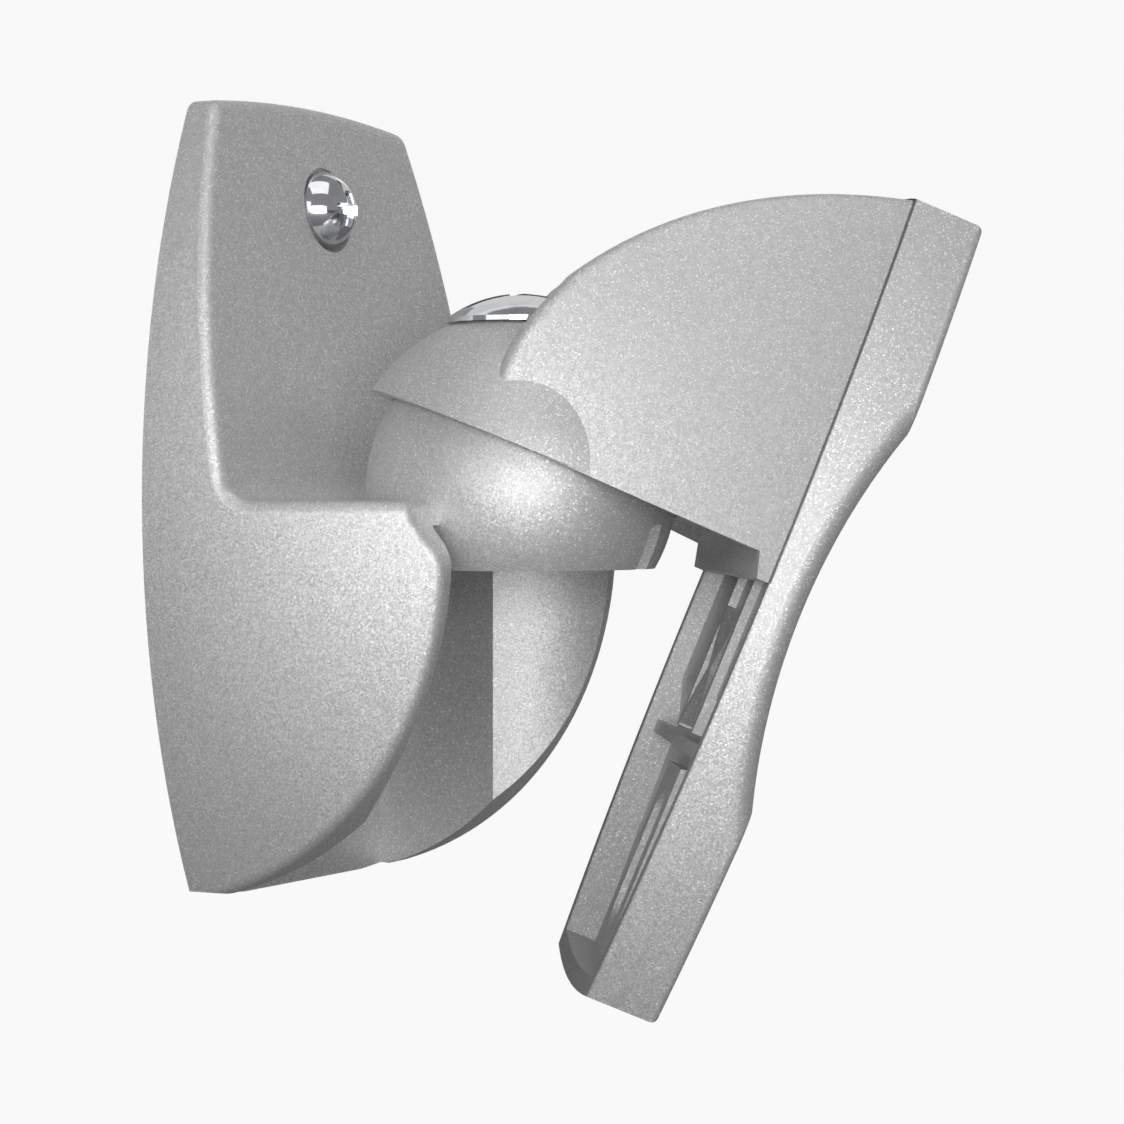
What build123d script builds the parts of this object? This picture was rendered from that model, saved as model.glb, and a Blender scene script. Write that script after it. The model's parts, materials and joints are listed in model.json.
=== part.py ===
from build123d import *
from math import asin, atan2, cos, degrees, radians, sin, sqrt
import os

# Wall bracket for a small loudspeaker, in millimetres.
# X runs along the wall, the wall face is the plane Y = 0 and the bracket stands out from it towards -Y.
# Z is up. The origin is the middle of the wall face, level with the top of the shelf under the ball.
# The bracket is drawn as it stands in use: turned to one side and tipped down.

# Front outline shared by the wall shell and the speaker side: a barrel shape
half_width_middle = 27.3
half_width_end = 18.9
half_height = 41.0
end_crown = 1.1
corner_radius = 2.0
wall_thickness = 2.3

# Wall shell
side_curve_radius = 62.0
hull_depth = 30.4
nose_height = -7.5
nose_run = 3.4
keel_radius = 37.0
shelf_height = -0.4
shelf_depth = 27.6
shelf_thickness = 2.5
shelf_fillet = 3.0
shelf_drop = 3.6
face_depth_at_shelf = 9.5
face_depth_at_top = 3.4
back_plate = 2.0
outer_edge_radius = 1.4
channel_half_width_back = 15.8
channel_half_width_front = 13.1
channel_front = 19.4
pocket_radius = 17.2
core_foot = 3.0
core_head = 34.0

# Screw that holds the shell to the wall
wall_screw_height = 31.0
wall_screw_shank = 4.2
wall_screw_neck = 3.8
wall_screw_head = 8.4
wall_screw_head_height = 4.2
wall_screw_head_lip = 0.8
wall_screw_recess = 4.5
wall_screw_reach = 16.0
wall_screw_point = 3.0
screw_boss = 9.0
screw_hole_clearance = 0.3
screw_seat_depth = 1.2
screw_seat_margin = 0.4

# Ball, a hollow dome moulded on the shelf
ball_radius = 16.25
ball_out = 28.9
ball_up = 0.7
ball_foot = 8.2
ball_wall = 3.0
ball_seat = 5.0
ball_notch_width = 2.4
ball_notch_depth = 1.0
ball_notch_top = -3.6

# Clamp screw, washer and nut in the bore of the ball
clamp_shank = 5.0
clamp_bore_clearance = 0.1
clamp_head_radius = 7.8
clamp_head_dome = 3.1
clamp_head_lip = 0.5
clamp_recess = 6.4
clamp_shank_foot = -4.5
clamp_gap = 0.3
washer_radius = 5.0
washer_thickness = 1.0
nut_flats = 8.0
nut_height = 4.0

# Cross recess of the screws, as shares of its length
recess_width = 0.28
recess_depth = 0.45
recess_narrowing = 0.55

# Cap and arm, measured from the middle of the ball
cap_gap = 0.3
cap_thickness = 2.25
cap_rim_height = 3.6
seam_out = 24.2
arm_plate = 1.6
arm_plate_foot = 0.2
arm_half_width_nose = 17.9
arm_nose_out = 4.5
arm_half_width_tail = 15.5
arm_tail_out = -8.5
fin_radius = 42.0
fin_axis_offset = 7.3
fin_shoulder_out = -4.6
fin_edge_radius = 1.2
fin_tail_out = -7.3
fin_tail_height = 13.6
fin_heel_out = -7.2
fin_heel_height = 8.4
arm_low_edge = 2.8
arm_notch_out = 22.3
arm_notch_width = 0.7
slot_side_clearance = 0.4
tilt_up_limit = 10.0
tilt_down_limit = 25.0

# Speaker plate
plate_thickness = 7.6
plate_half_width_face = 26.9
plate_half_width_side = 27.2
plate_centre = -1.4
plate_half_height = 42.9
plate_wall = 2.1
plate_floor = 3.9
waist_floor = 5.4
waist_floor_foot = -17.0
waist_floor_ramp = 5.0
waist_middle = -1.0
waist_half_length = 20.0
waist_depth = 3.3
waist_edge_radius = 2.2
plate_edge_radius = 0.8
pad_half_width = 5.6
pad_top = 1.9
pad_foot = -41.2
pad_head = -20.4
slot_width = 5.2
slot_foot = -38.6
slot_head = -23.0
rib_thickness = 1.4
rib_depth = 1.3
rail_offset = 6.3
rail_foot = -16.5
cross_rib_height = -18.0
brace_foot = -16.0
brace_head = -3.0
boss_radius = 3.6

# Screws that join the arm to the speaker plate
arm_screw_heights = (13.0, 33.0)
arm_screw_shank = 3.0
arm_screw_head = 5.6
arm_screw_head_height = 2.0
arm_screw_head_lip = 0.5
arm_screw_recess = 3.0
arm_screw_length = 4.0
arm_screw_clearance = 0.1

# Pose of the speaker side
swivel_angle = 32.4
tilt_angle = 22.6

os.makedirs("parts", exist_ok=True)

# Reference planes


def views(origin, lateral, outward):
    """Front, side and plan planes through a point: x and y of each are lateral, outward or up."""
    up = outward.cross(lateral)
    front = Plane(origin=origin, x_dir=lateral, z_dir=outward)
    side = Plane(origin=origin, x_dir=outward, z_dir=-lateral)
    plan = Plane(origin=origin, x_dir=lateral, z_dir=-up)
    return front, side, plan


ball_centre = Vector(0, -ball_out, ball_up)
wall_front, wall_side, wall_plan = views(Vector(0, 0, 0), Vector(1, 0, 0), Vector(0, -1, 0))
ball_side = views(ball_centre, Vector(1, 0, 0), Vector(0, -1, 0))[1]
ball_top = Plane(origin=ball_centre, x_dir=(1, 0, 0), z_dir=(0, 0, 1))

turn = radians(swivel_angle)
tip = radians(tilt_angle)
level_out = Vector(sin(turn), -cos(turn), 0)
speaker_lateral = Vector(cos(turn), sin(turn), 0)
speaker_out = level_out * cos(tip) - Vector(0, 0, 1) * sin(tip)
speaker_up = speaker_out.cross(speaker_lateral)
arm_front, arm_side, arm_plan = views(ball_centre, speaker_lateral, speaker_out)

# Shared forms


def barrel(front, plan, height, width_end, crown, middle, side_line, skin=0.0):
    """Body with a barrel-shaped front view whose two sides follow a curve in plan.

    Each side is a band turned about the axis of the barrel arc, so the plan curve keeps its form
    at every height. side_line is a list of (out, half width) points: two ends and, between them,
    one point on the arc. skin moves the sides and the ends inwards; with a crown of None the body
    runs past its ends.
    """
    start, via, end = side_line
    sag = start[1] - width_end
    arc_radius = (height ** 2 + sag ** 2) / (2 * sag)
    axis_offset = arc_radius - start[1]
    out_low, out_high = sorted((start[0], end[0]))
    with BuildPart() as body:
        for side, mode in ((1, Mode.ADD), (-1, Mode.INTERSECT)):
            points = [(side * (half - skin), out) for out, half in (start, via, end)]
            with BuildSketch(plan.offset(-middle)) as band:
                with BuildLine():
                    ThreePointArc(*points)
                    Polyline(
                        points[2],
                        (-side * axis_offset, end[0]),
                        (-side * axis_offset, start[0]),
                        points[0],
                    )
                make_face()
            pivot = plan.offset(-middle).from_local_coords((-side * axis_offset, 0))
            revolve(band.sketch, axis=Axis(pivot, front.z_dir), mode=mode)
        if crown is not None:
            reach = start[1] + 5
            head = middle + height + crown - skin
            heel = middle - height - crown + skin
            fall = crown * (reach / width_end) ** 2
            with BuildSketch(front.offset(out_low)) as ends:
                with BuildLine():
                    ThreePointArc((-reach, head - fall), (0, head), (reach, head - fall))
                    Line((reach, head - fall), (reach, heel + fall))
                    ThreePointArc((reach, heel + fall), (0, heel), (-reach, heel + fall))
                    Line((-reach, heel + fall), (-reach, head - fall))
                make_face()
            extrude(ends.sketch, amount=out_high - out_low, mode=Mode.INTERSECT)
    return body.part


def top_corners(shape, front, height):
    """The edges of a barrel body that run outwards at its two top corners."""
    def at_corner(edge):
        place = front.to_local_coords(edge.center())
        return (
            place.Y > height - 4
            and abs(place.X) > half_width_end - 6
            and abs(edge.tangent_at(0.5).dot(front.z_dir)) > 0.8
        )
    return shape.edges().filter_by(at_corner)


def arc_point(start, end, radius, away):
    """Middle of the arc of a given radius from start to end, bulging away from the point away."""
    chord = Vector(end[0] - start[0], end[1] - start[1])
    middle = Vector((start[0] + end[0]) / 2, (start[1] + end[1]) / 2)
    rise = radius - sqrt(radius ** 2 - (chord.length / 2) ** 2)
    normal = Vector(-chord.Y, chord.X).normalized()
    if normal.dot(middle - Vector(*away)) < 0:
        normal = -normal
    place = middle + normal * rise
    return place.X, place.Y


def screw_head(face, radius, lip, dome):
    """Domed screw head that stands on a plane."""
    with BuildPart() as head:
        with BuildSketch(Plane(origin=face.origin, x_dir=face.x_dir, z_dir=-face.y_dir)):
            with BuildLine():
                Polyline((0, dome), (0, 0), (radius, 0), (radius, lip))
                bow = dome - lip
                curve = (radius ** 2 + bow ** 2) / (2 * bow)
                middle = radius / 2
                ThreePointArc(
                    (radius, lip), (middle, dome - curve + sqrt(curve ** 2 - middle ** 2)), (0, dome)
                )
            make_face()
        revolve(axis=Axis(face.origin, face.z_dir))
    return head.part


def cross_recess(face, length):
    """Cross recess that goes down from a plane and narrows on the way."""
    down = Plane(origin=face.origin, x_dir=face.x_dir, z_dir=-face.z_dir)
    width = length * recess_width
    with BuildPart() as cut:
        for wide, high in ((length, width), (width, length)):
            with BuildSketch(down):
                Rectangle(wide, high)
            with BuildSketch(down.offset(length * recess_depth)):
                Rectangle(wide * recess_narrowing, high * recess_narrowing)
            loft()
    return cut.part


# Wall shell: hull, sloping face, shelf and ball in one moulding

form_depth = hull_depth + 1
side_rise = side_curve_radius - sqrt(side_curve_radius ** 2 - form_depth ** 2)
via_rise = side_curve_radius - sqrt(side_curve_radius ** 2 - (form_depth / 2) ** 2)
wall_sides = (
    (0, half_width_middle),
    (form_depth / 2, half_width_middle - via_rise),
    (form_depth, half_width_middle - side_rise),
)
wall_form = barrel(wall_front, wall_plan, half_height, half_width_end, end_crown, 0, wall_sides)
wall_hollow = barrel(
    wall_front, wall_plan, half_height, half_width_end, None, 0, wall_sides, wall_thickness
)

top = half_height + end_crown
foot = -top - 1
keel_start = (0, -top)
nose = (hull_depth, nose_height)
shelf_corner = (shelf_depth, shelf_height)
shelf_under = shelf_height - shelf_thickness
face_slope = (face_depth_at_top - face_depth_at_shelf) / (top - shelf_height)


def face_depth(height):
    """How far the sloping face stands out from the wall at a height."""
    return face_depth_at_shelf + face_slope * (height - shelf_height)


screw_face = face_depth(wall_screw_height) - screw_seat_depth
screw_plane = Plane(origin=(0, -screw_face, wall_screw_height), x_dir=(1, 0, 0), z_dir=(0, -1, 0))

# Room under the shelf: a channel from the back plate to a round pocket under the ball
with BuildPart() as recess:
    with BuildSketch(wall_plan.offset(-shelf_under)) as room:
        with BuildLine():
            Polyline(
                (-channel_half_width_back, back_plate),
                (channel_half_width_back, back_plate),
                (channel_half_width_front, channel_front),
                (-channel_half_width_front, channel_front),
                close=True,
            )
        make_face()
        with Locations((0, ball_out)):
            Circle(pocket_radius)
    extrude(room.sketch, amount=shelf_under - foot)

# Core at the back of the sloping face, open to the wall, with a pillar round the screw
with BuildPart() as core:
    add(wall_hollow)
    with BuildSketch(wall_side) as hollow_back:
        with BuildLine():
            Polyline(
                (0, core_foot),
                (face_depth(core_foot) - wall_thickness, core_foot),
                (face_depth(core_head) - wall_thickness, core_head),
                (0, core_head),
                close=True,
            )
        make_face()
    extrude(hollow_back.sketch, amount=half_width_middle, both=True, mode=Mode.INTERSECT)
    with BuildSketch(wall_front) as pillar:
        with Locations((0, wall_screw_height)):
            Circle(screw_boss / 2)
    extrude(pillar.sketch, amount=face_depth_at_shelf, mode=Mode.SUBTRACT)

with BuildPart() as wall_shell:
    add(wall_form)
    with BuildSketch(wall_side) as profile:
        with BuildLine():
            keel = ThreePointArc(keel_start, arc_point(keel_start, nose, keel_radius, (0, 0)), nose)
            run_on = keel.tangent_at(1) * nose_run
            Bezier(
                nose,
                (nose[0] + run_on.X, nose[1] + run_on.Y),
                (shelf_depth, shelf_height - shelf_drop),
                shelf_corner,
            )
            Polyline(
                shelf_corner,
                (face_depth_at_shelf, shelf_height),
                (face_depth_at_top, top),
                (0, top),
                keel_start,
            )
        make_face()
        inner = profile.vertices().sort_by_distance((face_depth_at_shelf, shelf_height))[0]
        fillet(inner, shelf_fillet)
    extrude(profile.sketch, amount=half_width_middle + 1, both=True, mode=Mode.INTERSECT)

    fillet(top_corners(wall_shell, wall_front, half_height), corner_radius)

    # Rounded edge of the sloping face, the shelf and the keel
    def on_front(edge):
        place = wall_side.to_local_coords(edge.center())
        return place.X > 2.5 and abs(edge.center().X) > 8 and place.Y < half_height - 2
    fillet(wall_shell.edges().filter_by(on_front), outer_edge_radius)

    add(recess.part, mode=Mode.SUBTRACT)
    add(core.part, mode=Mode.SUBTRACT)

    # Ball on the shelf, flat below and hollow from below up to the seat of the washer
    with BuildSketch(ball_side) as dome:
        with BuildLine():
            half_foot = sqrt(ball_radius ** 2 - ball_foot ** 2)
            Line((0, -ball_foot), (half_foot, -ball_foot))
            ThreePointArc((half_foot, -ball_foot), (ball_radius, 0), (0, ball_radius))
            Line((0, ball_radius), (0, -ball_foot))
        make_face()
    revolve(dome.sketch, axis=Axis(ball_centre, (0, 0, 1)))
    with BuildSketch(ball_side) as inside:
        with BuildLine():
            hollow = ball_radius - ball_wall
            half_rim = sqrt(hollow ** 2 - ball_foot ** 2)
            half_seat = sqrt(hollow ** 2 - ball_seat ** 2)
            Line((0, -ball_foot), (half_rim, -ball_foot))
            ThreePointArc((half_rim, -ball_foot), (hollow, 0), (half_seat, ball_seat))
            Polyline((half_seat, ball_seat), (0, ball_seat), (0, -ball_foot))
        make_face()
    revolve(inside.sketch, axis=Axis(ball_centre, (0, 0, 1)), mode=Mode.SUBTRACT)
    with BuildSketch(ball_top.offset(ball_seat - 1)) as bore:
        Circle(clamp_shank / 2 + clamp_bore_clearance)
    extrude(bore.sketch, amount=ball_radius, mode=Mode.SUBTRACT)
    with BuildSketch(ball_side) as notch:
        with BuildLine():
            half_notch = sqrt(ball_radius ** 2 - ball_notch_top ** 2)
            Polyline(
                (half_foot - ball_notch_depth, -ball_foot),
                (half_notch - ball_notch_depth, ball_notch_top),
                (ball_radius + 1, ball_notch_top),
                (ball_radius + 1, -ball_foot),
                close=True,
            )
        make_face()
    extrude(notch.sketch, amount=ball_notch_width / 2, both=True, mode=Mode.SUBTRACT)

    # Flat seat and hole of the wall screw
    with BuildSketch(screw_plane) as seat:
        Circle(wall_screw_head / 2 + screw_seat_margin)
    extrude(seat.sketch, amount=wall_screw_head_height, mode=Mode.SUBTRACT)
    with BuildSketch(wall_front) as hole:
        with Locations((0, wall_screw_height)):
            Circle(wall_screw_shank / 2 + screw_hole_clearance)
    extrude(hole.sketch, amount=face_depth_at_shelf, mode=Mode.SUBTRACT)

# Wall screw, running on into the wall behind the bracket
with BuildPart() as wall_screw:
    add(screw_head(screw_plane, wall_screw_head / 2, wall_screw_head_lip, wall_screw_head_height))
    with BuildSketch(screw_plane) as neck:
        Circle(wall_screw_neck / 2)
    extrude(neck.sketch, amount=-screw_face)
    wall_plane = screw_plane.offset(-screw_face)
    with BuildSketch(wall_plane) as shank:
        Circle(wall_screw_shank / 2)
    extrude(shank.sketch, amount=-(wall_screw_reach - wall_screw_point))
    tip_plane = wall_plane.offset(-(wall_screw_reach - wall_screw_point))
    with BuildSketch(tip_plane) as tip_base:
        Circle(wall_screw_shank / 2)
    with BuildSketch(tip_plane.offset(-wall_screw_point)) as tip_end:
        Circle(wall_screw_shank / 8)
    loft([tip_base.sketch, tip_end.sketch])
    recess_plane = screw_plane.offset(wall_screw_head_height)
    add(cross_recess(recess_plane, wall_screw_recess), mode=Mode.SUBTRACT)

# Clamp: domed screw over the cap, washer and nut inside the ball
cap_radius = ball_radius + cap_gap + cap_thickness
head_under = cap_radius + clamp_gap
rim_height = sqrt(head_under ** 2 - clamp_head_radius ** 2)
neck_height = sqrt(head_under ** 2 - (clamp_shank / 2) ** 2)

with BuildPart() as clamp_screw:
    with BuildSketch(ball_side) as turned:
        with BuildLine():
            Polyline(
                (0, rim_height + clamp_head_dome),
                (0, clamp_shank_foot),
                (clamp_shank / 2, clamp_shank_foot),
                (clamp_shank / 2, neck_height),
            )
            under_angle = (asin(clamp_shank / 2 / head_under) + asin(clamp_head_radius / head_under)) / 2
            ThreePointArc(
                (clamp_shank / 2, neck_height),
                (head_under * sin(under_angle), head_under * cos(under_angle)),
                (clamp_head_radius, rim_height),
            )
            Line((clamp_head_radius, rim_height), (clamp_head_radius, rim_height + clamp_head_lip))
            ThreePointArc(
                (clamp_head_radius, rim_height + clamp_head_lip),
                (clamp_head_radius * 0.55, rim_height + clamp_head_dome * 0.76),
                (0, rim_height + clamp_head_dome),
            )
        make_face()
    revolve(turned.sketch, axis=Axis(ball_centre, (0, 0, 1)))
    crown_plane = ball_top.offset(rim_height + clamp_head_dome)
    add(cross_recess(crown_plane, clamp_recess), mode=Mode.SUBTRACT)

with BuildPart() as clamp_washer:
    with BuildSketch(ball_top.offset(ball_seat - washer_thickness)) as ring:
        Circle(washer_radius)
        Circle(clamp_shank / 2, mode=Mode.SUBTRACT)
    extrude(ring.sketch, amount=washer_thickness)

with BuildPart() as clamp_nut:
    nut_foot = ball_seat - washer_thickness - nut_height
    with BuildSketch(ball_top.offset(nut_foot)) as hexagon:
        RegularPolygon(nut_flats / 2, 6, major_radius=False)
        Circle(clamp_shank / 2, mode=Mode.SUBTRACT)
    extrude(hexagon.sketch, amount=nut_height)

# Speaker arm: cap over the ball, two cheeks and the plate they carry
arm_sides = (
    (seam_out, half_width_middle),
    (arm_nose_out, arm_half_width_nose),
    (arm_tail_out, arm_half_width_tail),
)
arm_form = barrel(
    arm_front, arm_plan, plate_half_height, half_width_end, end_crown, plate_centre, arm_sides
)
arm_hollow = barrel(
    arm_front, arm_plan, plate_half_height, half_width_end, None, plate_centre, arm_sides, wall_thickness
)
fin_axis_out = seam_out + fin_axis_offset
fin_top = sqrt(fin_radius ** 2 - fin_axis_offset ** 2)
fin_shoulder = (fin_shoulder_out, sqrt(fin_radius ** 2 - (fin_axis_out - fin_shoulder_out) ** 2))
fin_middle_out = (seam_out + fin_shoulder_out) / 2
slot_reach = cap_radius * 1.2
slot_half_width = clamp_shank / 2 + slot_side_clearance

# Room between the cheeks, open above and below
with BuildPart() as arm_room:
    add(arm_hollow)
    with BuildSketch(arm_side) as between:
        with BuildLine():
            Polyline(
                (arm_tail_out, arm_plate_foot - 1),
                (arm_tail_out, plate_half_height + 1),
                (seam_out - arm_plate, plate_half_height + 1),
                (seam_out - arm_plate, arm_plate_foot - 1),
                close=True,
            )
        make_face()
    extrude(between.sketch, amount=half_width_middle, both=True, mode=Mode.INTERSECT)

# Path of the clamp screw through the cap
with BuildPart() as screw_path:
    with BuildSketch(arm_side) as sector:
        with BuildLine():
            Polyline(
                (0, 0),
                (-slot_reach * sin(radians(tilt_down_limit)), slot_reach * cos(radians(tilt_down_limit))),
                (slot_reach * sin(radians(tilt_up_limit)), slot_reach * cos(radians(tilt_up_limit))),
                close=True,
            )
        make_face()
    extrude(sector.sketch, amount=slot_half_width, both=True)
    for angle in (-tilt_down_limit, tilt_up_limit):
        towards = speaker_out * sin(radians(angle)) + speaker_up * cos(radians(angle))
        with BuildSketch(Plane(origin=ball_centre, x_dir=speaker_lateral, z_dir=towards)) as end:
            Circle(slot_half_width)
        extrude(end.sketch, amount=slot_reach)

with BuildPart() as speaker_arm:
    add(arm_form)
    with BuildSketch(arm_side) as fin:
        with BuildLine():
            ThreePointArc(
                (seam_out, fin_top),
                (fin_middle_out, sqrt(fin_radius ** 2 - (fin_axis_out - fin_middle_out) ** 2)),
                fin_shoulder,
            )
            Bezier(
                fin_shoulder,
                (fin_shoulder_out - 1.0, fin_shoulder[1] - 3.0),
                (fin_tail_out - 1.0, fin_tail_height),
                (fin_heel_out, fin_heel_height),
            )
            Polyline(
                (fin_heel_out, fin_heel_height),
                (0, cap_rim_height),
                (arm_notch_out, arm_low_edge),
                (arm_notch_out + arm_notch_width, arm_plate_foot),
                (seam_out, arm_plate_foot),
                (seam_out, fin_top),
            )
        make_face()
    extrude(fin.sketch, amount=half_width_middle + 1, both=True, mode=Mode.INTERSECT)

    # Rounded edge along the top and the tail of the cheeks
    def on_fin(edge):
        place = arm_side.to_local_coords(edge.center())
        return place.X < seam_out - 2 and place.Y > fin_heel_height and abs(place.Z) > 10
    fillet(speaker_arm.edges().filter_by(on_fin), fin_edge_radius)

    add(arm_room.part, mode=Mode.SUBTRACT)

    # Cap over the ball, open below and slotted for the clamp screw
    with BuildSketch(arm_side) as shell:
        with BuildLine():
            inner = ball_radius + cap_gap
            Line((0, inner), (0, cap_radius))
            half_outer = sqrt(cap_radius ** 2 - cap_rim_height ** 2)
            half_inner = sqrt(inner ** 2 - cap_rim_height ** 2)
            ThreePointArc(
                (0, cap_radius),
                (cap_radius * sin(radians(40)), cap_radius * cos(radians(40))),
                (half_outer, cap_rim_height),
            )
            Line((half_outer, cap_rim_height), (half_inner, cap_rim_height))
            ThreePointArc(
                (half_inner, cap_rim_height),
                (inner * sin(radians(40)), inner * cos(radians(40))),
                (0, inner),
            )
        make_face()
    revolve(shell.sketch, axis=Axis(ball_centre, speaker_up))
    with Locations(ball_centre):
        Sphere(ball_radius + cap_gap, mode=Mode.SUBTRACT)
    add(screw_path.part, mode=Mode.SUBTRACT)

    # Holes of the two screws into the speaker plate
    with BuildSketch(arm_front.offset(seam_out - arm_plate)) as arm_holes:
        with Locations(*[(0, height) for height in arm_screw_heights]):
            Circle(arm_screw_shank / 2 + arm_screw_clearance)
    extrude(arm_holes.sketch, amount=arm_plate, mode=Mode.SUBTRACT)

# Speaker plate: a tray with a waisted face, ribs inside and an obround slot
face_out = seam_out + plate_thickness
floor_out = face_out - plate_floor
waist_floor_out = face_out - waist_floor
plate_sides = (
    (seam_out, half_width_middle),
    (seam_out + plate_thickness / 2, plate_half_width_side),
    (face_out, plate_half_width_face),
)
plate_form = barrel(
    arm_front, arm_plan, plate_half_height, half_width_end, end_crown, plate_centre, plate_sides
)
plate_hollow = barrel(
    arm_front, arm_plan, plate_half_height, half_width_end, end_crown, plate_centre, plate_sides, plate_wall
)
plate_head = plate_centre + plate_half_height + end_crown + 1
plate_heel = plate_centre - plate_half_height - end_crown - 1
ramp_low = waist_floor_foot
ramp_high = 2 * waist_middle - waist_floor_foot

with BuildPart() as tray_room:
    add(plate_hollow)
    with BuildSketch(arm_side) as depth:
        with BuildLine():
            Polyline(
                (seam_out, plate_heel),
                (floor_out, plate_heel),
                (floor_out, ramp_low),
                (waist_floor_out, ramp_low + waist_floor_ramp),
                (waist_floor_out, ramp_high - waist_floor_ramp),
                (floor_out, ramp_high),
                (floor_out, plate_head),
                (seam_out, plate_head),
                close=True,
            )
        make_face()
    extrude(depth.sketch, amount=half_width_middle, both=True, mode=Mode.INTERSECT)

# Ribs on the floor of the tray: rails, a cross rib and two braces between the rails
with BuildPart() as ribs:
    with BuildSketch(arm_front.offset(seam_out + rib_depth)) as rib_plan:
        rail_middle = (rail_foot + plate_head) / 2
        with Locations((-rail_offset, rail_middle), (rail_offset, rail_middle)):
            Rectangle(rib_thickness, plate_head - rail_foot)
        with Locations((0, cross_rib_height)):
            Rectangle(2 * half_width_middle, rib_thickness)
        for side in (-1, 1):
            lean = degrees(atan2(brace_head - brace_foot, 2 * side * rail_offset))
            with Locations(Location((0, (brace_foot + brace_head) / 2, 0), (0, 0, lean))):
                Rectangle(2 * rail_offset / abs(cos(radians(lean))), rib_thickness)
    extrude(rib_plan.sketch, amount=floor_out - seam_out - rib_depth)
    add(tray_room.part, mode=Mode.INTERSECT)

with BuildPart() as speaker_plate:
    add(plate_form)
    with BuildSketch(arm_side) as outline:
        with BuildLine():
            waist_head = (face_out, waist_middle + waist_half_length)
            waist_foot = (face_out, waist_middle - waist_half_length)
            ThreePointArc(waist_foot, (face_out - waist_depth, waist_middle), waist_head)
            Polyline(
                waist_head,
                (face_out, plate_head),
                (seam_out, plate_head),
                (seam_out, plate_heel),
                (face_out, plate_heel),
                waist_foot,
            )
        make_face()
    extrude(outline.sketch, amount=half_width_middle + 1, both=True, mode=Mode.INTERSECT)

    # Soft edge round the outer face, widest along the waist
    def along_waist(edge):
        place = arm_side.to_local_coords(edge.center())
        return place.X > seam_out + 1 and abs(place.Z) > 15 and abs(place.Y - waist_middle) < 15
    fillet(speaker_plate.edges().filter_by(along_waist), waist_edge_radius)

    def round_face(edge):
        place = arm_side.to_local_coords(edge.center())
        return place.X > face_out - 0.5 and abs(place.Y - waist_middle) > waist_half_length
    fillet(speaker_plate.edges().filter_by(round_face), plate_edge_radius)

    add(tray_room.part, mode=Mode.SUBTRACT)
    add(ribs.part)

    # Raised pad with the obround slot of the loudspeaker's own screw
    with BuildSketch(arm_front.offset(seam_out + pad_top)) as pad:
        with Locations((0, (pad_foot + pad_head) / 2)):
            Rectangle(2 * pad_half_width, pad_head - pad_foot)
    extrude(pad.sketch, amount=floor_out - seam_out - pad_top)
    with BuildSketch(arm_front.offset(seam_out)) as slot:
        with Locations((0, (slot_foot + slot_head) / 2)):
            SlotOverall(slot_head - slot_foot, slot_width, rotation=90)
    extrude(slot.sketch, amount=plate_thickness, mode=Mode.SUBTRACT)

    # Bosses of the two screws from the arm
    with BuildSketch(arm_front.offset(seam_out)) as bosses:
        with Locations(*[(0, height) for height in arm_screw_heights]):
            Circle(boss_radius)
    extrude(bosses.sketch, amount=floor_out - seam_out)
    with BuildSketch(arm_front.offset(seam_out)) as pilots:
        with Locations(*[(0, height) for height in arm_screw_heights]):
            Circle(arm_screw_shank / 2)
    extrude(pilots.sketch, amount=arm_screw_length, mode=Mode.SUBTRACT)

# Screws from the arm into the speaker plate
arm_screws = []
for height in arm_screw_heights:
    centre = arm_front.offset(seam_out - arm_plate).from_local_coords((0, height))
    head_plane = Plane(origin=centre, x_dir=speaker_lateral, z_dir=-speaker_out)
    with BuildPart() as arm_screw:
        add(screw_head(head_plane, arm_screw_head / 2, arm_screw_head_lip, arm_screw_head_height))
        with BuildSketch(head_plane) as shank:
            Circle(arm_screw_shank / 2)
        extrude(shank.sketch, amount=-(arm_plate + arm_screw_length))
        top_plane = head_plane.offset(arm_screw_head_height)
        add(cross_recess(top_plane, arm_screw_recess), mode=Mode.SUBTRACT)
    arm_screws.append(arm_screw.part)

# Files

nodes = {
    "wall_shell": wall_shell.part,
    "wall_screw": wall_screw.part,
    "clamp_screw": clamp_screw.part,
    "clamp_washer": clamp_washer.part,
    "clamp_nut": clamp_nut.part,
    "speaker_arm": speaker_arm.part,
    "speaker_plate": speaker_plate.part,
    "arm_screw_lower": arm_screws[0],
    "arm_screw_upper": arm_screws[1],
}
for name, solid in nodes.items():
    solid.label = name
    export_step(solid, f"parts/{name}.step")
    print(name, round(solid.volume, 1), len(solid.solids()), solid.is_valid)
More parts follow.
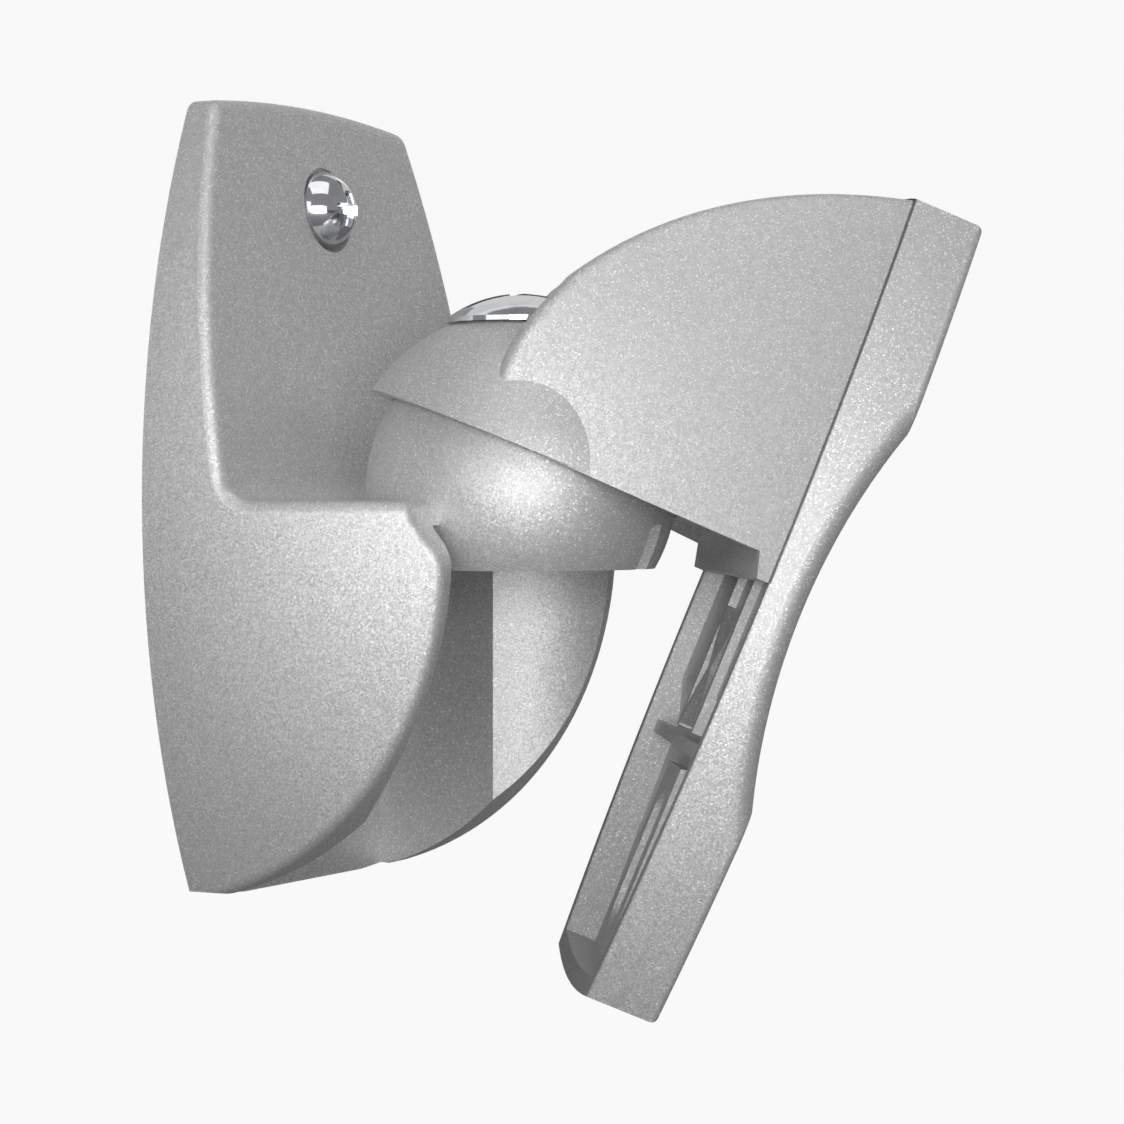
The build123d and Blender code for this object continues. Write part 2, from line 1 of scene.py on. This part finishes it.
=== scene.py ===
# %% [markdown]
# # A wall bracket for a small loudspeaker
#
# The bracket is two lacquered plastic mouldings joined at a ball. This lesson dresses the solids of
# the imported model: it gives the mouldings their silver lacquer, the screws their bright plate and
# their threads, and then sets up the floor, the light and the camera of the photograph.
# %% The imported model
import bpy
import bmesh
import json
import math
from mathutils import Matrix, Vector


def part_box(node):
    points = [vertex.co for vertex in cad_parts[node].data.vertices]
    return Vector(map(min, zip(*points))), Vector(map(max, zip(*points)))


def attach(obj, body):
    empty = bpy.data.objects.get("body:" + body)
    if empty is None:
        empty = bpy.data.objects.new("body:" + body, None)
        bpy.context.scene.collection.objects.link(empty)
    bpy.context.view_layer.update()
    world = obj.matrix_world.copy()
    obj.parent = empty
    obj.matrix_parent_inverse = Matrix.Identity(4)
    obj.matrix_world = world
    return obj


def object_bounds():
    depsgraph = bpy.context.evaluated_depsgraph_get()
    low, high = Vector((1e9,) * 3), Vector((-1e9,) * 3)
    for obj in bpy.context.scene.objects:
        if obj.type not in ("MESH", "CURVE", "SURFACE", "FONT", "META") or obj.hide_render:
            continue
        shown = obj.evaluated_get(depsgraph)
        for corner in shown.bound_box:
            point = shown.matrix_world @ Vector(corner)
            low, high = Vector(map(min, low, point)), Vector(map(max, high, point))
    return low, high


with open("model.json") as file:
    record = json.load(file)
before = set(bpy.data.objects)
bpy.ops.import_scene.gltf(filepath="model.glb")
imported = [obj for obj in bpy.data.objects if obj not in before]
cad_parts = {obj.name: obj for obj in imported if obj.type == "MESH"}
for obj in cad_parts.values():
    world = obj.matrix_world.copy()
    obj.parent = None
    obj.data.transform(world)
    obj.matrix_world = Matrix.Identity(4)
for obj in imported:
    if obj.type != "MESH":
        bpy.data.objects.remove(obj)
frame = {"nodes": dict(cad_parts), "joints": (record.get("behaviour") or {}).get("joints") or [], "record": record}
cad_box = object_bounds()
print("nodes:", ", ".join(sorted(frame["nodes"])))
print("size in mm:", [round(1000 * (high - low), 1) for low, high in zip(*cad_box)])

# %% [markdown]
# ## A short way to write shader maths
#
# A material is a graph of nodes, and a graph is easier to read as an expression. The class below
# wraps one socket. Its operators add Math nodes, so that `1 - mask` works as it does on numbers.
# Any other node comes from `Graph.node`, which sets the settings first and the sockets after them.
# %% Sockets as values


class Value:
    """One output socket, or a number, in a material's graph."""

    def __init__(self, graph, socket):
        self.graph = graph
        self.socket = socket

    def maths(self, operation, *others):
        """One Math node; this value and the others fill its sockets in order."""
        values = dict(enumerate((self, *others)))
        return self.graph.node("ShaderNodeMath", {"operation": operation}, values)

    def __add__(self, other):
        return self.maths("ADD", other)

    def __radd__(self, other):
        return self.maths("ADD", other)

    def __sub__(self, other):
        return self.maths("SUBTRACT", other)

    def __rsub__(self, other):
        return self.graph.node("ShaderNodeMath", {"operation": "SUBTRACT"}, {0: other, 1: self})

    def __mul__(self, other):
        return self.maths("MULTIPLY", other)

    def above(self, low, high):
        """0 below low, 1 above high, smooth between them."""
        settings = {"interpolation_type": "SMOOTHSTEP"}
        values = {"Value": self, "From Min": low, "From Max": high, "To Min": 0.0, "To Max": 1.0}
        return self.graph.node("ShaderNodeMapRange", settings, values)


class Graph:
    """The node graph of one new material."""

    def __init__(self, name):
        self.material = bpy.data.materials.new(name)
        self.material.use_nodes = True
        self.tree = self.material.node_tree
        self.shader = self.tree.nodes["Principled BSDF"]
        self.place = self.node("ShaderNodeTexCoord", {}, {}, "Object")

    def connect(self, value, socket):
        if isinstance(value, Value):
            self.tree.links.new(value.socket, socket)
        else:
            socket.default_value = value

    def node(self, kind, settings, values, output=0):
        """Any node: settings are set first, values fill its sockets, output is what comes back."""
        made = self.tree.nodes.new(kind)
        for key, setting in settings.items():
            setattr(made, key, setting)
        for key, value in values.items():
            self.connect(value, made.inputs[key])
        return Value(self, made.outputs[output])

    def noise(self, scale, detail=2.0, roughness=0.5):
        values = {"Vector": self.place, "Scale": scale, "Detail": detail, "Roughness": roughness}
        return self.node("ShaderNodeTexNoise", {}, values, "Fac")

    def vector(self, operation, *vectors, output="Vector", **values):
        """One Vector Math node; vectors fill its sockets in order."""
        values.update(enumerate(vectors))
        return self.node("ShaderNodeVectorMath", {"operation": operation}, values, output)

    def mix(self, factor, first, second):
        """Colour between first and second."""
        settings = {"data_type": "RGBA"}
        return self.node("ShaderNodeMix", settings, {0: factor, 6: first, 7: second}, 2)

    def surface(self, **values):
        """Sets sockets of the material's own shader; underscores stand for spaces."""
        for name, value in values.items():
            self.connect(value, self.shader.inputs[name.replace("_", " ")])
        return self.material


print("shader helpers ready")

# %% [markdown]
# ## Silver lacquer on a plastic moulding
#
# Sprayed silver is a grey base with aluminium flakes a tenth of a millimetre across. Each flake lies
# at its own small angle, so it flashes or stays dark as a point, and all of them together make the
# moulding bright where it faces the light and dull where it turns away. A cell texture gives every
# flake three random numbers. Together they tilt the normal a little, the first lightens or darkens
# the base, and where the second is high, in about one flake of fifteen, a painted glint makes the
# base bright whatever the light. Two noises stand for the spray: a slow one for its uneven flow, and
# a finer one for its mottle, which also roughens the surface a little.
# %% Silver lacquer
flakes_per_metre = 7600.0
flow_per_metre = 55.0
mottle_per_metre = 1500.0
# Painted glint: the share of flakes painted bright, and how bright they are painted.
painted_glint_range = (0.91, 0.96)
painted_glint_gain = 0.55
mottle_gain = 0.22
flow_gain = 0.08
mottle_depth = 0.00002
# How much the painted shadow along the seam darkens the lacquer.
seam_shadow_darkness = 0.75


def silver_lacquer(name, base, flake_tilt, grain, seam=None):
    """Lacquer with flakes and painted glints; seam, where given, places its painted shadow line."""
    graph = Graph(name)
    values = {"Vector": graph.place, "Scale": flakes_per_metre}
    cells = graph.node("ShaderNodeTexVoronoi", {"feature": "F1"}, values, "Color")
    flake = graph.node("ShaderNodeSeparateColor", {}, {"Color": cells}, "Red")
    second = graph.node("ShaderNodeSeparateColor", {}, {"Color": cells}, "Green")
    # Painted glint: about one flake in fifteen is made bright in the colour itself, whatever the light.
    painted_glint = second.above(*painted_glint_range)
    flow = graph.noise(flow_per_metre, 3.0)
    mottle = graph.noise(mottle_per_metre, 2.0)
    grain_and_painted_light = 1 + (flake - 0.5) * (2 * grain) + painted_glint * painted_glint_gain
    grain_and_painted_light = grain_and_painted_light + (mottle - 0.5) * mottle_gain + (flow - 0.5) * flow_gain
    # Painted shadow: the lacquer colour darkens along the seam between arm and plate.
    if seam:
        grain_and_painted_light = grain_and_painted_light * (1 - seam_shadow(graph, *seam) * seam_shadow_darkness)
    tone = graph.vector("SCALE", tuple(base), Scale=grain_and_painted_light)
    tilt = graph.vector("SCALE", graph.vector("SUBTRACT", cells, (0.5, 0.5, 0.5)), Scale=flake_tilt)
    relief = {"Strength": 0.30, "Distance": mottle_depth, "Height": mottle}
    bump = graph.node("ShaderNodeBump", {}, relief, "Normal")
    return graph.surface(
        Base_Color=tone,
        Metallic=0.65,
        Roughness=flow * 0.08 + 0.50,
        Normal=graph.vector("NORMALIZE", graph.vector("ADD", bump, tilt)),
        Coat_Weight=0.06,
        Coat_Roughness=0.30,
    )


# Shape of the painted seam shadow: its dark core, its strength below the arm, its blend there.
line_core = 0.3
below_foot = 0.3
foot_blend = 0.0002


def seam_shadow(graph, out, up, centre, distance, foot, width):
    """Painted seam shadow: 1 on the plane at distance from centre along out, 0 from width away.

    The inner share line_core of the width is fully dark. Below foot, where the arm ends, the painted
    shadow keeps below_foot of its strength.
    """
    along = graph.vector("DOT_PRODUCT", graph.place, tuple(out), output="Value")
    upwards = graph.vector("DOT_PRODUCT", graph.place, tuple(up), output="Value")
    reach = along - (out.dot(centre) + distance)
    height = upwards - (up.dot(centre) + foot)
    near = 1 - reach.maths("ABSOLUTE").above(line_core * width, width)
    return near * (height.above(-foot_blend, foot_blend) * (1 - below_foot) + below_foot)


# %% [markdown]
# The arm meets the speaker plate on a plane, and a thin line of painted shadow shows there. Both
# mouldings are darkened by this painted shade within two tenths of a millimetre of that plane, in
# their own axes, so the line turns with them.
# The imported record says how the plane lies: its axis is that of the face that the loudspeaker lies
# on, the tilt joint's axis runs along it, and its distance is counted from the ball's centre.
# %% The joint between arm and plate
joints = {joint["name"]: joint for joint in frame["joints"]}
mounts = {mount["name"]: mount for mount in frame["record"]["mounts"]}
ball_centre = Vector(joints["swivel"]["pos_m"])
speaker_out = Vector(mounts["speaker_face"]["axis"]).normalized()
speaker_up = speaker_out.cross(Vector(joints["tilt"]["axis"]))
seam_distance = 0.0242
arm_foot = 0.0002
seam_width = 0.00022
seam = (speaker_out, speaker_up, ball_centre, seam_distance, arm_foot, seam_width)
silver = (0.66, 0.66, 0.66)
flake_tilt = 0.22
grain = 0.14
lacquer = silver_lacquer("silver_lacquer", silver, flake_tilt, grain)
# Arm and plate get the lacquer with the painted seam shadow.
seam_shaded_lacquer = silver_lacquer("silver_lacquer_seam_shadow", silver, flake_tilt, grain, seam)
print("lacquer:", len(lacquer.node_tree.nodes), "nodes, with the joint", len(seam_shaded_lacquer.node_tree.nodes))

# %% [markdown]
# ## Bright and plain plated steel
#
# The two screws that show are chrome plated: a mirror with very fine turning marks, and a faint blue
# cast. The washer, the nut and the screws between the cheeks are plain zinc plate, greyer and softer,
# with a slow mottle from the bath.
# %% Plated steel
clouds_per_metre = 260.0
cloud_range = (0.35, 0.7)
cloud_tone = 0.82
marks_per_metre = 5200.0
mark_depth = 0.00001


def plated_steel(name, base, rough, mottle):
    """Plate with fine marks and a slow cloud, which darkens it and adds mottle to its roughness."""
    graph = Graph(name)
    cloud = graph.noise(clouds_per_metre, 4.0, 0.6)
    marks = graph.noise(marks_per_metre, 2.0)
    darker = tuple(cloud_tone * part for part in base)
    tone = graph.mix(cloud.above(*cloud_range), (*base, 1.0), (*darker, 1.0))
    relief = {"Strength": 0.12, "Distance": mark_depth, "Height": marks}
    bump = graph.node("ShaderNodeBump", {}, relief, "Normal")
    return graph.surface(
        Base_Color=tone,
        Metallic=1.0,
        Roughness=cloud * mottle + rough,
        Normal=bump,
    )


chrome = plated_steel("chrome_plate", (0.88, 0.89, 0.92), 0.06, 0.06)
zinc = plated_steel("zinc_plate", (0.62, 0.63, 0.65), 0.26, 0.16)
print("plates:", chrome.name, zinc.name)

# %% [markdown]
# ## Finishes on the solids
#
# The mouldings keep their own solids: every edge, rib and slot is already there. Only the material
# in their slots changes.
# %% Finishes on the solids
finishes = {
    "wall_shell": lacquer,
    "speaker_arm": seam_shaded_lacquer,
    "speaker_plate": seam_shaded_lacquer,
    "wall_screw": chrome,
    "clamp_screw": chrome,
    "clamp_washer": zinc,
    "clamp_nut": zinc,
    "arm_screw_lower": zinc,
    "arm_screw_upper": zinc,
}
for name, material in finishes.items():
    solid = frame["nodes"][name]
    for slot in solid.material_slots:
        slot.material = material
    print(name, "->", material.name, len(solid.data.polygons), "faces")

# %% [markdown]
# ## Threads on the two screws
#
# The solids leave the screws' shanks plain. A rolled thread is one ridge that climbs round the shank:
# sharp at its crest, and running out to nothing at both ends. It could be turned by a screw modifier,
# but a strip of three corners per step shows how a helix works and keeps the run-out easy. The wall
# screw's thread is coarse and tall, for a wall plug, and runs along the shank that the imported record
# states. The clamp screw's is fine and low, and runs from its end up to its nut.
# %% Threads
root_depth = 0.00002
root_share = 0.42


def thread(name, start, along, length, radius, pitch, height, run_out=0.75, steps=36):
    """Ridge that winds round a shank from start, in the direction along, for a length.

    Its roots lie a little under the shank's surface and take root_share of the pitch on each side.
    """
    turn = Vector(along).to_track_quat("Z", "Y").to_matrix()
    half = root_share * pitch
    total = round(steps * (length - pitch) / pitch)
    mesh = bmesh.new()
    rows = []
    for step in range(total + 1):
        angle = math.tau * step / steps
        turns_from_end = min(step, total - step) / steps
        crest = height * min(1.0, turns_from_end / run_out)
        climb = pitch / 2 + pitch * step / steps
        row = []
        for reach, lift in ((-root_depth, -half), (crest, 0.0), (-root_depth, half)):
            out = radius + reach
            corner = Vector((out * math.cos(angle), out * math.sin(angle), climb + lift))
            row.append(mesh.verts.new(Vector(start) + turn @ corner))
        rows.append(row)
    for low, high in zip(rows, rows[1:]):
        mesh.faces.new((low[0], high[0], high[1], low[1]))
        mesh.faces.new((low[1], high[1], high[2], low[2]))
    bmesh.ops.recalc_face_normals(mesh, faces=mesh.faces)
    data = bpy.data.meshes.new(name)
    mesh.to_mesh(data)
    mesh.free()
    data.materials.append(chrome)
    ridge = bpy.data.objects.new(name, data)
    bpy.context.scene.collection.objects.link(ridge)
    return ridge


shank = mounts["wall_screw_shank"]
shank_way = Vector(shank["axis"])
shank_length = shank["dims"]["length_mm"] / 1000
shank_start = Vector(shank["pos_m"]) - shank_way * (shank_length / 2)
wall_thread_gap = 0.0004
wall_thread = thread(
    "wall_screw_thread",
    start=shank_start + shank_way * wall_thread_gap,
    along=shank_way,
    length=0.0128,
    radius=shank["dims"]["r_mm"] / 1000,
    pitch=0.0018,
    height=0.00035,
)
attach(wall_thread, "wall")
clamp_thread_gap = 0.0001
clamp_thread_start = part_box("clamp_screw")[0].z + clamp_thread_gap
nut_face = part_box("clamp_nut")[0].z
clamp_thread = thread(
    "clamp_screw_thread",
    start=(ball_centre.x, ball_centre.y, clamp_thread_start),
    along=(0, 0, 1),
    length=nut_face - clamp_thread_start,
    radius=0.0025,
    pitch=0.0008,
    height=0.00012,
)
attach(clamp_thread, "clamp")
for ridge in (wall_thread, clamp_thread):
    print(ridge.name, len(ridge.data.polygons), "faces")

# %% [markdown]
# ## Floor and backdrop
#
# The photograph is a cut-out on white. A grey floor with a curved back gives the same ground: it sends
# a little light back to the bracket, and shows nearly white to the camera. A plane and a wall would do
# too, but the curve leaves no line where they meet.
# %% Floor and backdrop


def sweep(name, depth, width, height, radius, steps=24):
    """Floor that curves up into a back wall, as one sheet."""
    profile = [(-depth, 0.0)]
    for step in range(steps + 1):
        angle = math.radians(90 * step / steps)
        out = depth - radius + radius * math.sin(angle)
        profile.append((out, radius - radius * math.cos(angle)))
    profile.append((depth, height))
    mesh = bmesh.new()
    rows = []
    for side in (-width, width):
        rows.append([mesh.verts.new((out, side, up)) for out, up in profile])
    for near, far in zip(zip(rows[0], rows[0][1:]), zip(rows[1], rows[1][1:])):
        mesh.faces.new((near[0], near[1], far[1], far[0]))
    data = bpy.data.meshes.new(name)
    mesh.to_mesh(data)
    mesh.free()
    for face in data.polygons:
        face.use_smooth = True
    sheet = bpy.data.objects.new(name, data)
    bpy.context.scene.collection.objects.link(sheet)
    return sheet


looks_along = Vector((0.8813, 0.4726, 0.0))
view_angle = math.atan2(looks_along.y, looks_along.x)
lowest = cad_box[0][2]
floor_gap = 0.012
floor = sweep("floor", depth=1.6, width=2.4, height=2.2, radius=0.5)
floor.rotation_euler = (0, 0, view_angle)
floor.location = (0, 0, lowest - floor_gap)

ground_tone = 0.28
white_share = 0.94


def white_to_camera(name, tone):
    """Plain grey ground that the camera sees as white, apart from a small share."""
    graph = Graph(name)
    tree = graph.tree
    graph.surface(Base_Color=(tone, tone, tone, 1.0), Roughness=0.9)
    glow = tree.nodes.new("ShaderNodeEmission")
    glow.inputs["Strength"].default_value = 1.0
    path = tree.nodes.new("ShaderNodeLightPath")
    blend = tree.nodes.new("ShaderNodeMixShader")
    seen = Value(graph, path.outputs["Is Camera Ray"])
    graph.connect(seen * white_share, blend.inputs[0])
    tree.links.new(graph.shader.outputs[0], blend.inputs[1])
    tree.links.new(glow.outputs[0], blend.inputs[2])
    tree.links.new(blend.outputs[0], tree.nodes["Material Output"].inputs["Surface"])
    return graph.material


floor.data.materials.append(white_to_camera("pale_ground", ground_tone))
print("floor at z =", round(1000 * floor.location.z, 1), "mm")

# %% [markdown]
# ## Light
#
# The key light is a soft box behind the camera and a little below it. Weaker boxes on the left, above,
# behind and on the far side open the shadows. Large boxes suit lacquer and chrome: their reflections
# are wide and even. All of them aim at the middle of the bracket.
# %% Lamps
lamp_aim = Vector((0.0, -0.03, 0.0))


def soft_box(name, azimuth, elevation, distance, size, power):
    """Area lamp aimed at the bracket. Azimuth runs from -Y towards -X, in degrees."""
    turn = math.radians(azimuth)
    rise = math.radians(elevation)
    level = math.cos(rise)
    back = Vector((-math.sin(turn) * level, -math.cos(turn) * level, math.sin(rise)))
    lamp = bpy.data.lights.new(name, "AREA")
    lamp.shape = "RECTANGLE"
    lamp.size, lamp.size_y = size
    lamp.energy = power
    lamp_object = bpy.data.objects.new(name, lamp)
    lamp_object.location = lamp_aim + back * distance
    lamp_object.rotation_euler = back.to_track_quat("Z", "Y").to_euler()
    bpy.context.scene.collection.objects.link(lamp_object)
    return lamp_object


# Name, azimuth, elevation, distance, size, power in watts
lamps = [
    soft_box("soft_box_by_camera", 57, -12, 0.5, (0.42, 0.44), 3.9),
    soft_box("soft_box_left", 98, -2, 0.6, (0.4, 0.6), 0.7),
    soft_box("soft_box_above", 50, 70, 0.9, (0.7, 0.7), 1.4),
    soft_box("soft_box_behind", 235, 40, 1.0, (0.9, 0.6), 1.0),
    soft_box("soft_box_far_side", -80, 20, 1.0, (0.8, 0.8), 1.0),
]
for lamp in lamps:
    print(lamp.name, round(lamp.data.energy, 2), "W")

# %% [markdown]
# The room itself is an even grey light, so that no side of the bracket is black, and the camera sees
# it as white.
# %% Room
room_strength = 0.24
world = bpy.data.worlds.new("room")
world.use_nodes = True
bpy.context.scene.world = world
room = world.node_tree
room_light = room.nodes["Background"]
room_light.inputs["Color"].default_value = (1.0, 1.0, 1.0, 1.0)
room_light.inputs["Strength"].default_value = room_strength
white = room.nodes.new("ShaderNodeBackground")
white.inputs["Strength"].default_value = 1.0
white.inputs["Color"].default_value = (1.0, 1.0, 1.0, 1.0)
path = room.nodes.new("ShaderNodeLightPath")
either = room.nodes.new("ShaderNodeMixShader")
room.links.new(path.outputs["Is Camera Ray"], either.inputs[0])
room.links.new(room_light.outputs[0], either.inputs[1])
room.links.new(white.outputs[0], either.inputs[2])
room.links.new(either.outputs[0], room.nodes["World Output"].inputs["Surface"])
bpy.context.scene.view_settings.view_transform = "Standard"
print("room light", room_strength)

# %% [markdown]
# ## Camera
#
# The camera was worked out from the photograph: level, 0.35 m away, to the left of the bracket, with
# a long lens. The picture's middle isn't on the camera's axis, and a small shift of the lens allows
# for that.
# %% Camera
frame_pixels = 1124
focal_pixels = 3200.0
axis_pixel = (560.43, 496.5)
camera_place = (-0.29352, -0.19098, 0.0)
lens_data = bpy.data.cameras.new("camera")
lens_data.sensor_fit = "HORIZONTAL"
lens_data.sensor_width = 36.0
lens_data.lens = focal_pixels / frame_pixels * lens_data.sensor_width
lens_data.shift_x = (frame_pixels / 2 - axis_pixel[0]) / frame_pixels
lens_data.shift_y = (axis_pixel[1] - frame_pixels / 2) / frame_pixels
lens_data.clip_start = 0.01
lens_data.clip_end = 20.0
camera = bpy.data.objects.new("camera", lens_data)
camera.location = camera_place
camera.rotation_euler = (-looks_along).to_track_quat("Z", "Y").to_euler()
bpy.context.scene.collection.objects.link(camera)
bpy.context.scene.camera = camera
print("lens", round(lens_data.lens, 2), "mm")
print("shift", round(lens_data.shift_x, 4), round(lens_data.shift_y, 4))
